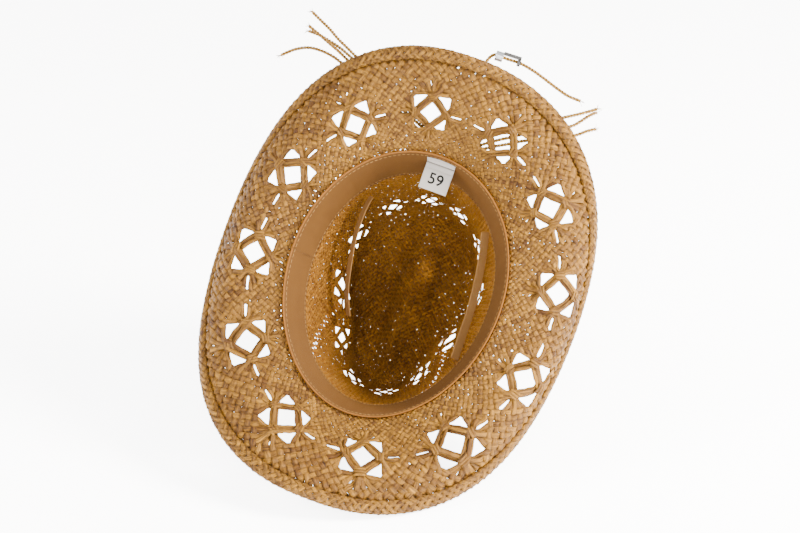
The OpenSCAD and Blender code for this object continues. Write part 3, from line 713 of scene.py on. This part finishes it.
def mat_strands(angle, pitch, hand, seed):
    lines, d = [], np.array([math.cos(angle), math.sin(angle)])
    e = np.array([-d[1], d[0]])
    far = mean_y * stretch * 1.15
    x = np.arange(-far, far, pitch / 3)
    for i, off in enumerate(np.arange(-far, far, pitch)):
        line = x[:, None] * d + (off + 0.1 * pitch * wobble(x / 6, seed + i))[:, None] * e
        p, share = mat_point(line[:, 0], line[:, 1])
        keep = share < 1.07
        if keep.sum() < 6:
            continue
        run = slice(np.argmax(keep), len(keep) - np.argmax(keep[::-1]))
        side = mat_point(line[:, 0] + 0.3 * e[0], line[:, 1] + 0.3 * e[1])[0] - p
        ahead = mat_point(line[:, 0] + 0.3 * d[0], line[:, 1] + 0.3 * d[1])[0] - p
        n = unit(np.cross(ahead, side))
        over = np.cos(math.pi * (x + far) / pitch) * (-1) ** i * hand
        lift = 0.15 * pitch * over + 0.03 * pitch * wobble(x, seed + 3 * i)
        lean = 0.12 * wobble(x / 3, seed + 5 * i)
        r = np.random.default_rng(seed * 100 + i)
        spread = np.clip(np.linalg.norm(side, axis=1) / 0.3, 0.8, 2.0)
        wide = 1.06 * pitch * (spread * (1 + 0.06 * wobble(x / 4, seed + 7 * i)))
        lines.append(((p + n * lift[:, None])[run], unit(n + unit(side) * lean[:, None])[run],
                      wide[run], r.uniform(0, 1)))
    return lines


for name, degrees, hand, seed, nodes in (("TipMatL", 38, 1, 41, ["crown_tip"]), ("TipMatR", -52, -1, 43, [])):
    strands(name, mat_strands(math.radians(degrees), 2.7, hand, seed), CROWN_PAINTED_LIGHT_MAT, "straw",
            nodes=nodes, sides=4, flatness=0.28)

# %% [markdown]
# ## The knots of the stars
# Where two bundles cross, a strand is wound three or four times round both and pulled tight. Each
# knot is a row of closed loops side by side, a little different every time.

# %% Wrapped knots
def knots(grid, seed):
    lines = []
    for star in range(STARS):
        for k, (du, dm) in enumerate(((GATHER, 0), (-GATHER, 0), (0, GATHER), (0, -GATHER))):
            r = np.random.default_rng(seed + 10 * star + k)
            u, m = np.array([PER_STAR * star + du]), np.array([float(dm)])
            p, n, _, size = (x[0] for x in grid.at(u, m))
            ahead = unit(grid.at(u + 0.1, m)[0][0] - p)
            pitch = size / math.sqrt(2)
            turned = r.uniform(-0.35, 0.35) + (math.pi / 2 if k < 2 else 0)
            a = math.cos(turned) * ahead + math.sin(turned) * np.cross(n, ahead)
            b = np.cross(n, a)
            angle = np.linspace(0, 2 * math.pi, 18, endpoint=False)
            for row in (-1, 0, 1):
                reach = pitch * (1.02 - 0.12 * abs(row)) * r.uniform(0.92, 1.08)
                rise = pitch * 0.50 * r.uniform(0.95, 1.1)
                c, s = np.cos(angle), np.sin(angle)
                flatter = np.sign(c) * np.abs(c) ** 0.7, np.sign(s) * np.abs(s) ** 0.8
                slant = 0.16 * pitch * r.uniform(-1, 1)
                loop = (p + (flatter[0] * reach)[:, None] * a + (flatter[1] * rise)[:, None] * n
                        + (row * 0.52 * pitch + slant * c)[:, None] * b)
                outwards = unit((c / reach)[:, None] * a + (s / rise)[:, None] * n)
                lines.append((loop, outwards, pitch * 0.60 * r.uniform(0.9, 1.1), r.uniform(0.1, 1)))
    return lines


strands("BrimKnots", knots(BRIM, 900), STRAW_MAT, "straw", closed=True, flatness=0.3)
strands("WallKnots", knots(CROWN, 1900), CROWN_PAINTED_LIGHT_MAT, "straw", closed=True, flatness=0.3)

# %% [markdown]
# ## The hem
# The ends of the strands are folded back over a shaping wire and braided along the edge. Four strands
# wind one way round the fold and four the other way, over and under each other.

# %% The braided edge
EDGE_T = np.linspace(0, 2 * math.pi, 1500, endpoint=False)
edge_mid, edge_up = brim(EDGE_T, brim_w(EDGE_T) - HEM_W / 2)
EDGE_L = float(np.linalg.norm(np.roll(edge_mid, -1, 0) - edge_mid, axis=1).sum())
print("the edge is", round(EDGE_L), "mm round")


def braid(count, lay, half_wide, half_high, wide, seed):
    lines, turns = [], round(EDGE_L / lay)
    share = np.linspace(0, 1, turns * 22, endpoint=False)
    gaps = np.concatenate([[0], np.cumsum(np.linalg.norm(np.roll(edge_mid, -1, 0) - edge_mid, axis=1))])
    t = np.interp(share * EDGE_L, gaps, np.append(EDGE_T, 2 * math.pi))
    mid, up = brim(t, brim_w(t) - HEM_W / 2)
    far, _ = brim(t, brim_w(t) - HEM_W / 2 + 0.5)
    outer = unit(far - mid)
    for hand in (1, -1):
        for i in range(count):
            angle = 2 * math.pi * (hand * share * turns + i / count)
            met = 2 * count * share * turns + hand * i
            over = np.cos(math.pi * met) * (-1) ** i * hand * 0.28 + 0.06 * wobble(share * 900, seed + i)
            c, s = np.cos(angle), np.sin(angle)
            line = mid + (c * (half_wide + over))[:, None] * outer + (s * (half_high + over))[:, None] * up
            normal = unit((c / half_wide)[:, None] * outer + (s / half_high)[:, None] * up)
            lines.append((line, normal, wide * (1 + 0.1 * wobble(share * 700, seed + 5 * i + hand)),
                          0.5 + 0.5 * math.sin(7 * i + hand)))
    return lines


strands("HemBraid", braid(4, 25.0, HEM_W / 2 - 0.5, HEM_T / 2 - 0.1, 4.5, 71), STRAW_MAT, "straw",
        nodes=["brim_hem"], closed=True, flatness=0.2)

# %% Stitches: short lengths of thread in a row, with a gap after each
def stitches(name, path_at, total, length, gap, d, material, slot, nodes):
    lines = []
    for k in range(int(total / (length + gap))):
        at = (k + 0.5) / int(total / (length + gap)) + np.linspace(-0.5, 0.5, 5) * length / total
        p, n = path_at(at)
        sag = 1 - np.linspace(-1, 1, 5) ** 4
        lines.append((p + n * (d * 0.45 * sag - 0.1)[:, None], n, d, (k * 0.37) % 1))
    return strands(name, lines, material, slot, nodes=nodes, sides=5, flatness=0.8)


def hem_row(at):
    t = at * 2 * math.pi
    p, n = brim(t, brim_w(t) - 1.0)
    return p - n * 1.3, -n


stitches("HemStitches", hem_row, EDGE_L, 4.0, 3.5, 0.7, THREAD_MAT, "thread", ["hem_thread"])

# %% [markdown]
# ## The sweatband
# A strip of cotton twill is sewn inside the crown's foot. Its free edge is turned over a thin piping,
# and two rows of stitches run along it. The cloth puckers slightly where it was eased round.

# %% The band, its piping and its stitches
def wall_out(t):
    n = out_dir(t) * math.cos(LEAN)
    n[..., 2] += math.sin(LEAN)
    return n


def band(t, z, off=0.0):
    off = np.asarray(off)
    return wall(t, z + 0 * t) - (STRAW / 2 + 0.3 + BAND_T / 2 + off)[..., None] * wall_out(t)


FOOT = -0.8
turns = np.linspace(0, 2 * math.pi, 360, endpoint=False)
steps = np.linalg.norm(np.diff(band(turns, 8.0, 0 * turns), axis=0), axis=1)
round_band = np.concatenate([[0], np.cumsum(steps)])
BAND_L = float(round_band[-1] * 360 / 359)
heights = np.array([0, 0.04, 0.1, 0.2, 0.35, 0.5, 0.65, 0.8, 0.9, 0.96, 1.0])
pucker = 0.28 * wobble(turns * 17, 5) + 0.12 * wobble(turns * 51, 6)
verts, along, height = [], [], []
for face in (1, -1):
    for k in heights:
        edge = 0.35 if 0.03 < k < 0.97 else 0.12
        dip = 0.16 * math.exp(-((k - 0.075) / 0.03) ** 2) + 0.16 * math.exp(-((k - 0.94) / 0.03) ** 2)
        off = face * edge + (pucker * math.sin(math.pi * k) ** 0.7 * 0.5 + 0.15) - dip * (face > 0)
        verts.append(band(turns, FOOT + BAND_H * k, off))
        along.append(round_band * 0.001)
        height.append(np.full(360, BAND_H * k * 0.001))
rows = len(heights)
faces = []
for j in range(rows - 1):
    for i in range(360):
        k = (i + 1) % 360
        a, b, c, d = j * 360 + i, j * 360 + k, (j + 1) * 360 + k, (j + 1) * 360 + i
        faces.append((a, d, c, b))
        e = rows * 360
        faces.append((e + a, e + b, e + c, e + d))
for j, flip in ((0, 0), (rows - 1, 1)):
    for i in range(360):
        k = (i + 1) % 360
        a, b, c, d = j * 360 + i, j * 360 + k, (rows + j) * 360 + k, (rows + j) * 360 + i
        faces.append((a, d, c, b) if flip else (a, b, c, d))
sweatband = solid("Sweatband", np.concatenate(verts), faces, BAND_MAT, "band_cloth", nodes=["sweatband"],
                  values={"along": np.concatenate(along), "height": np.concatenate(height)})

pipe_path = band(turns, FOOT - 0.6, 0 * turns)
strands("SweatbandPiping", [(pipe_path, -wall_out(turns), 1.5, 0.5)], PIPE_MAT, "piping_cloth",
        nodes=["sweatband_piping"], sides=10, flatness=0.95, closed=True)
for name, z, node in (("StitchesLower", FOOT + 2.5, "band_thread_lower"),
                      ("StitchesUpper", FOOT + BAND_H - 2.0, "band_thread_upper")):
    def row(at, z=z):
        t = at * 2 * math.pi
        return band(t, z, 0.55 + 0 * t), -wall_out(t)
    stitches(name, row, BAND_L, 2.3, 1.5, 0.55, THREAD_MAT, "thread", [node])

# %% [markdown]
# ## The size label
# A woven satin label, printed with the size, is folded near its top edge. The short part is stitched
# flat on the band and the long part stands out into the crown, a little bowed.

# %% The label's plate, its sewn tab and its number
HINGE = np.array([0.0, 99.7, 8.0])
TILT = math.radians(-8.0)
LABEL_W, LABEL_L = 23.0, 21.0


def label_point(x, y, lift=0.0):
    """x across and y away from the fold, on the bowed plate."""
    bow = 0.9 * (1 - (2 * x / LABEL_W) ** 2) * np.clip(y / 6, 0, 1) - 0.35 * np.sin(y / LABEL_L * 3.0)
    crease = 0.35 * np.exp(-((y - 3.6) / 0.5) ** 2)
    z = -bow * 0.6 + crease + lift
    return HINGE + np.stack([x, z * math.sin(TILT) - y * math.cos(TILT), z - y * math.sin(TILT)], -1)


def plate(nx, ny, wide, long, place, thick):
    """A closed thin plate from a place function of (x, y, lift)."""
    x, y = np.meshgrid(np.linspace(-wide / 2, wide / 2, nx), np.linspace(0, long, ny))
    top, low = place(x.ravel(), y.ravel(), -thick / 2), place(x.ravel(), y.ravel(), thick / 2)
    quads = [(j * nx + i, j * nx + i + 1, (j + 1) * nx + i + 1, (j + 1) * nx + i)
             for j in range(ny - 1) for i in range(nx - 1)]
    e = nx * ny
    rim = ([j * nx for j in range(ny)] + [(ny - 1) * nx + i for i in range(1, nx)]
           + [j * nx + nx - 1 for j in range(ny - 2, -1, -1)] + [i for i in range(nx - 2, 0, -1)])
    faces = quads + [tuple(e + v for v in q[::-1]) for q in quads]
    faces += [(a, b, e + b, e + a) for a, b in zip(rim, rim[1:] + rim[:1])]
    return np.concatenate([top, low]), faces, np.tile(x.ravel(), 2) * 0.001, np.tile(y.ravel(), 2) * 0.001


verts, faces, xs, ys = plate(24, 24, LABEL_W, LABEL_L, label_point, 0.4)
label = solid("SizeLabel", verts, faces, LABEL_MAT, "label_cloth", body="label", nodes=["size_label"],
              values={"along": xs, "height": ys})


FOLD_GAP = np.array([0.0, 0.5, -0.2])


def tab_point(x, y, lift=0.0):
    """The sewn tab leaves the fold, bends and lies on the band."""
    z = HINGE[2] + 0.2 - y
    t = np.arccos(np.clip(x / (HEAD_W / 2), -1, 1))
    on_band = band(t, z, 0.75 - lift)
    at_fold = HINGE + FOLD_GAP + np.stack([x, 0 * x + 0.7 * lift, 0 * x + 0.7 * lift], -1)
    return on_band + (at_fold - on_band) * smooth(y, 2.6, 0.0)[:, None]


verts, faces, xs, ys = plate(16, 12, LABEL_W, 5.0, tab_point, 0.4)
solid("LabelTab", verts, faces, LABEL_MAT, "label_cloth", values={"along": xs, "height": ys})

text = bpy.data.curves.new("Number", "FONT")
text.body, text.size, text.align_x, text.align_y = "59", 12.5, "CENTER", "CENTER"
text.resolution_u, text.extrude, text.offset = 6, 0.06, 0.16
flat_text = bpy.data.objects.new("Number", text)
bpy.context.scene.collection.objects.link(flat_text)
number = bpy.data.meshes.new_from_object(flat_text.evaluated_get(bpy.context.evaluated_depsgraph_get()))
bpy.data.objects.remove(flat_text)
edit = bmesh.new()
edit.from_mesh(number)
bmesh.ops.remove_doubles(edit, verts=edit.verts, dist=0.0005)
edit.to_mesh(number)
edit.free()
co = np.array([v.co for v in number.vertices])
faces = [tuple(p.vertices) for p in number.polygons]
x, y = -co[:, 0], LABEL_L * 0.56 - co[:, 1]
ink = label_point(x, y, -0.25 - co[:, 2])
solid("LabelNumber", ink, faces, INK_MAT, "label_cloth", body="label",
      values={"along": x * 0.001, "height": y * 0.001}, sleek=False)

tab_z = HINGE[2] - 3.0


def tab_row(at):
    t = np.arccos(np.clip((at - 0.5) * (LABEL_W - 3) / (HEAD_W / 2), -1, 1))
    return band(t, tab_z, 1.05 + 0 * t), -wall_out(t)


stitches("LabelStitches", tab_row, LABEL_W - 3, 2.2, 1.1, 0.5, LABEL_MAT, "thread", ["label_thread"])

# %% [markdown]
# ## The fitting straps
# Two flat tapes are caught under the band and cross the inside of the crown. A tape has a flat
# section with rounded edges and closed ends.

# %% Tapes
def tape(name, route, wide_dir, node):
    p = np.array(route, float)
    k = np.linspace(0, 1, 60)[:, None]
    line = (1 - k) ** 3 * p[0] + 3 * (1 - k) ** 2 * k * p[1] + 3 * (1 - k) * k ** 2 * p[2] + k ** 3 * p[3]
    f = unit(np.gradient(line, axis=0))
    w = unit(np.array(wide_dir) - (f @ np.array(wide_dir))[:, None] * f)
    n = np.cross(f, w)
    sway = 0.5 * wobble(k[:, 0] * 9, 3)[:, None]
    half = [(-3.5, -0.2), (-3.3, -0.38), (3.3, -0.38), (3.5, -0.2)]
    section = half + [(-a, -b) for a, b in half]
    far = np.concatenate([[0], np.cumsum(np.linalg.norm(np.diff(line, axis=0), axis=1))])
    verts = np.concatenate([line + a * w + b * n + sway * n for a, b in section])
    size = len(line)
    faces = [(j * size + i, j * size + i + 1, (j + 1) % 8 * size + i + 1, (j + 1) % 8 * size + i)
             for j in range(8) for i in range(size - 1)]
    faces += [tuple(j * size for j in range(8)), tuple(j * size + size - 1 for j in range(7, -1, -1))]
    print(name, "is", round(far[-1]), "mm long")
    return solid(name, verts, faces, TAPE_MAT, "strap_cloth", nodes=[node],
                 values={"along": np.tile(far, 8) * 0.001,
                         "height": np.repeat([a for a, _ in section], size) * 0.001}, sleek=False)


tape("StrapLeft", [[48, 62, 37], [53, 40, 42], [50, 0, 52], [35, -32, 62]], [0.75, 0, 1], "fit_strap_left")
tape("StrapRight", [[-47, 66, 37], [-56, 40, 38], [-60, 0, 38], [-60, -36, 36]], [-0.8, 0, 0.6],
     "fit_strap_right")

# %% [markdown]
# ## The hatband
# A twisted cord goes twice round the foot of the crown and is knotted at the back. The knot is the
# same cord wound into a ball. A pinched metal barrel slides on both rounds.

# %% Two rounds of twisted cord, and the knot
fine = np.linspace(0, 2 * math.pi, 900, endpoint=False)
for name, z, node in (("HatbandLower", 6.0, "hatband_cord_lower"),
                      ("HatbandUpper", 9.0, "hatband_cord_upper")):
    path = wall(fine, z + 0 * fine) + (STRAW / 2 + CORD_D / 2 + 0.3) * wall_out(fine)
    strands(name, plies(path, CORD_D, 6.5, 60 + int(z), closed=True), CORD_MAT, "cord_straw",
            nodes=[node], sides=8, flatness=0.9, closed=True)

KNOT = np.array([-3.39, 112.94, 10.48])
lines = []
for k, (axis, off) in enumerate((((1, 0.1, 0.2), 0), ((0.9, 0.3, 0.5), 1.6), ((0.9, -0.3, -0.4), -1.6),
                                 ((0.1, 0.2, 1), 0), ((0.5, 0.1, 0.8), 1.5), ((-0.4, 0.3, 0.9), -1.5))):
    axis = unit(np.array(axis, float))
    g = unit(np.cross(axis, [0.2, 1, 0.1]))
    h = np.cross(axis, g)
    angle = np.linspace(0, 2 * math.pi, 40, endpoint=False)[:, None]
    r = math.sqrt(3.7 ** 2 - off ** 2)
    ring = KNOT + off * axis + r * (np.cos(angle) * g + np.sin(angle) * h)
    lines += plies(ring, 2.0, 5.0, 300 + k, closed=True)
strands("HatbandKnot", lines, CORD_MAT, "cord_straw", nodes=["hatband_knot"], sides=6,
        flatness=0.9, closed=True)

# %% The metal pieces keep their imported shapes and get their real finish
for node, material in (("charm_tube", STEEL_MAT), ("charm_bar", DARK_MAT), ("hatband_bead", SLIDER_MAT),
                       ("brim_wire", WIRE_MAT)):
    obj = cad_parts[node]
    obj.data.materials.clear()
    obj.data.materials.append(material)

# %% [markdown]
# ## Floor and light
# A pale floor touches the crown and the brim's front edge. A broad soft light comes from the right
# and weaker ones from the left and the front, as in a small product studio.

# %% Floor, lights and background
FLOOR_TILT, FLOOR_GLOW, FLOOR_HALF = math.radians(31), 6.0, 3000
normal = unit(math.cos(FLOOR_TILT) * UP - math.sin(FLOOR_TILT) * AHEAD)
shell = np.concatenate([brim(EDGE_T, brim_w(EDGE_T))[0], crown_point(EDGE_T, 112.0 + 0 * EDGE_T),
                        crown_point(EDGE_T, 92.0 + 0 * EDGE_T)])
level = float((shell @ normal).min()) - 2.0
across = unit(np.cross(normal, AHEAD))
deep = np.cross(normal, across)
middle = normal * level
corners = [middle + FLOOR_HALF * (a * across + b * deep) for a, b in ((-1, -1), (1, -1), (1, 1), (-1, 1))]
mesh = bpy.data.meshes.new("Floor")
mesh.from_pydata([tuple(c * 0.001) for c in corners], [], [(0, 1, 2, 3)])
mesh.update()
if np.dot(np.array(mesh.polygons[0].normal), normal) < 0:
    mesh.flip_normals()
floor = bpy.data.objects.new("Floor", mesh)
bpy.context.scene.collection.objects.link(floor)
m = Mat("Floor")
m.finish(color=(0.93, 0.93, 0.94, 1), rough=0.85, specular=0.1)
m.shader.inputs["Emission Color"].default_value = (1, 1, 1, 1)
m.shader.inputs["Emission Strength"].default_value = FLOOR_GLOW
back = m.node("ShaderNodeNewGeometry", output="Backfacing")
clear = m.node("ShaderNodeBsdfTransparent")
end = m.node("ShaderNodeMixShader", None, {0: back, 1: S(m, m.shader.outputs[0]), 2: clear})
m.tree.links.new(end.socket, m.tree.nodes["Material Output"].inputs["Surface"])
floor.data.materials.append(m.material)


def area_light(name, where, size, power, tint):
    lamp = bpy.data.lights.new(name, "AREA")
    lamp.shape, lamp.size, lamp.energy, lamp.color = "DISK", size, power, tint
    obj = bpy.data.objects.new(name, lamp)
    z = unit(where)
    x = unit(np.cross([0.1, 1.0, 0.2], z))
    y = np.cross(z, x)
    obj.matrix_world = Matrix([[*map(float, (x[k], y[k], z[k], where[k]))] for k in range(3)]
                              + [[0, 0, 0, 1]])
    bpy.context.scene.collection.objects.link(obj)


area_light("Key", 1.5 * unit(1.0 * RIGHT + 0.42 * UP - 0.48 * AHEAD), 0.6, 175.0, (1.0, 0.965, 0.90))
area_light("Fill", 1.6 * unit(-1.0 * RIGHT + 0.45 * UP - 0.42 * AHEAD), 0.9, 60.0, (1.0, 0.98, 0.94))
area_light("Front", 1.7 * unit(-0.1 * RIGHT + 0.15 * UP - 1.0 * AHEAD), 0.5, 28.0, (1.0, 0.98, 0.95))
world = bpy.data.worlds.new("Studio")
world.use_nodes = True
world.node_tree.nodes["Background"].inputs["Color"].default_value = (1, 1, 1, 1)
world.node_tree.nodes["Background"].inputs["Strength"].default_value = 1.3
bpy.context.scene.world = world
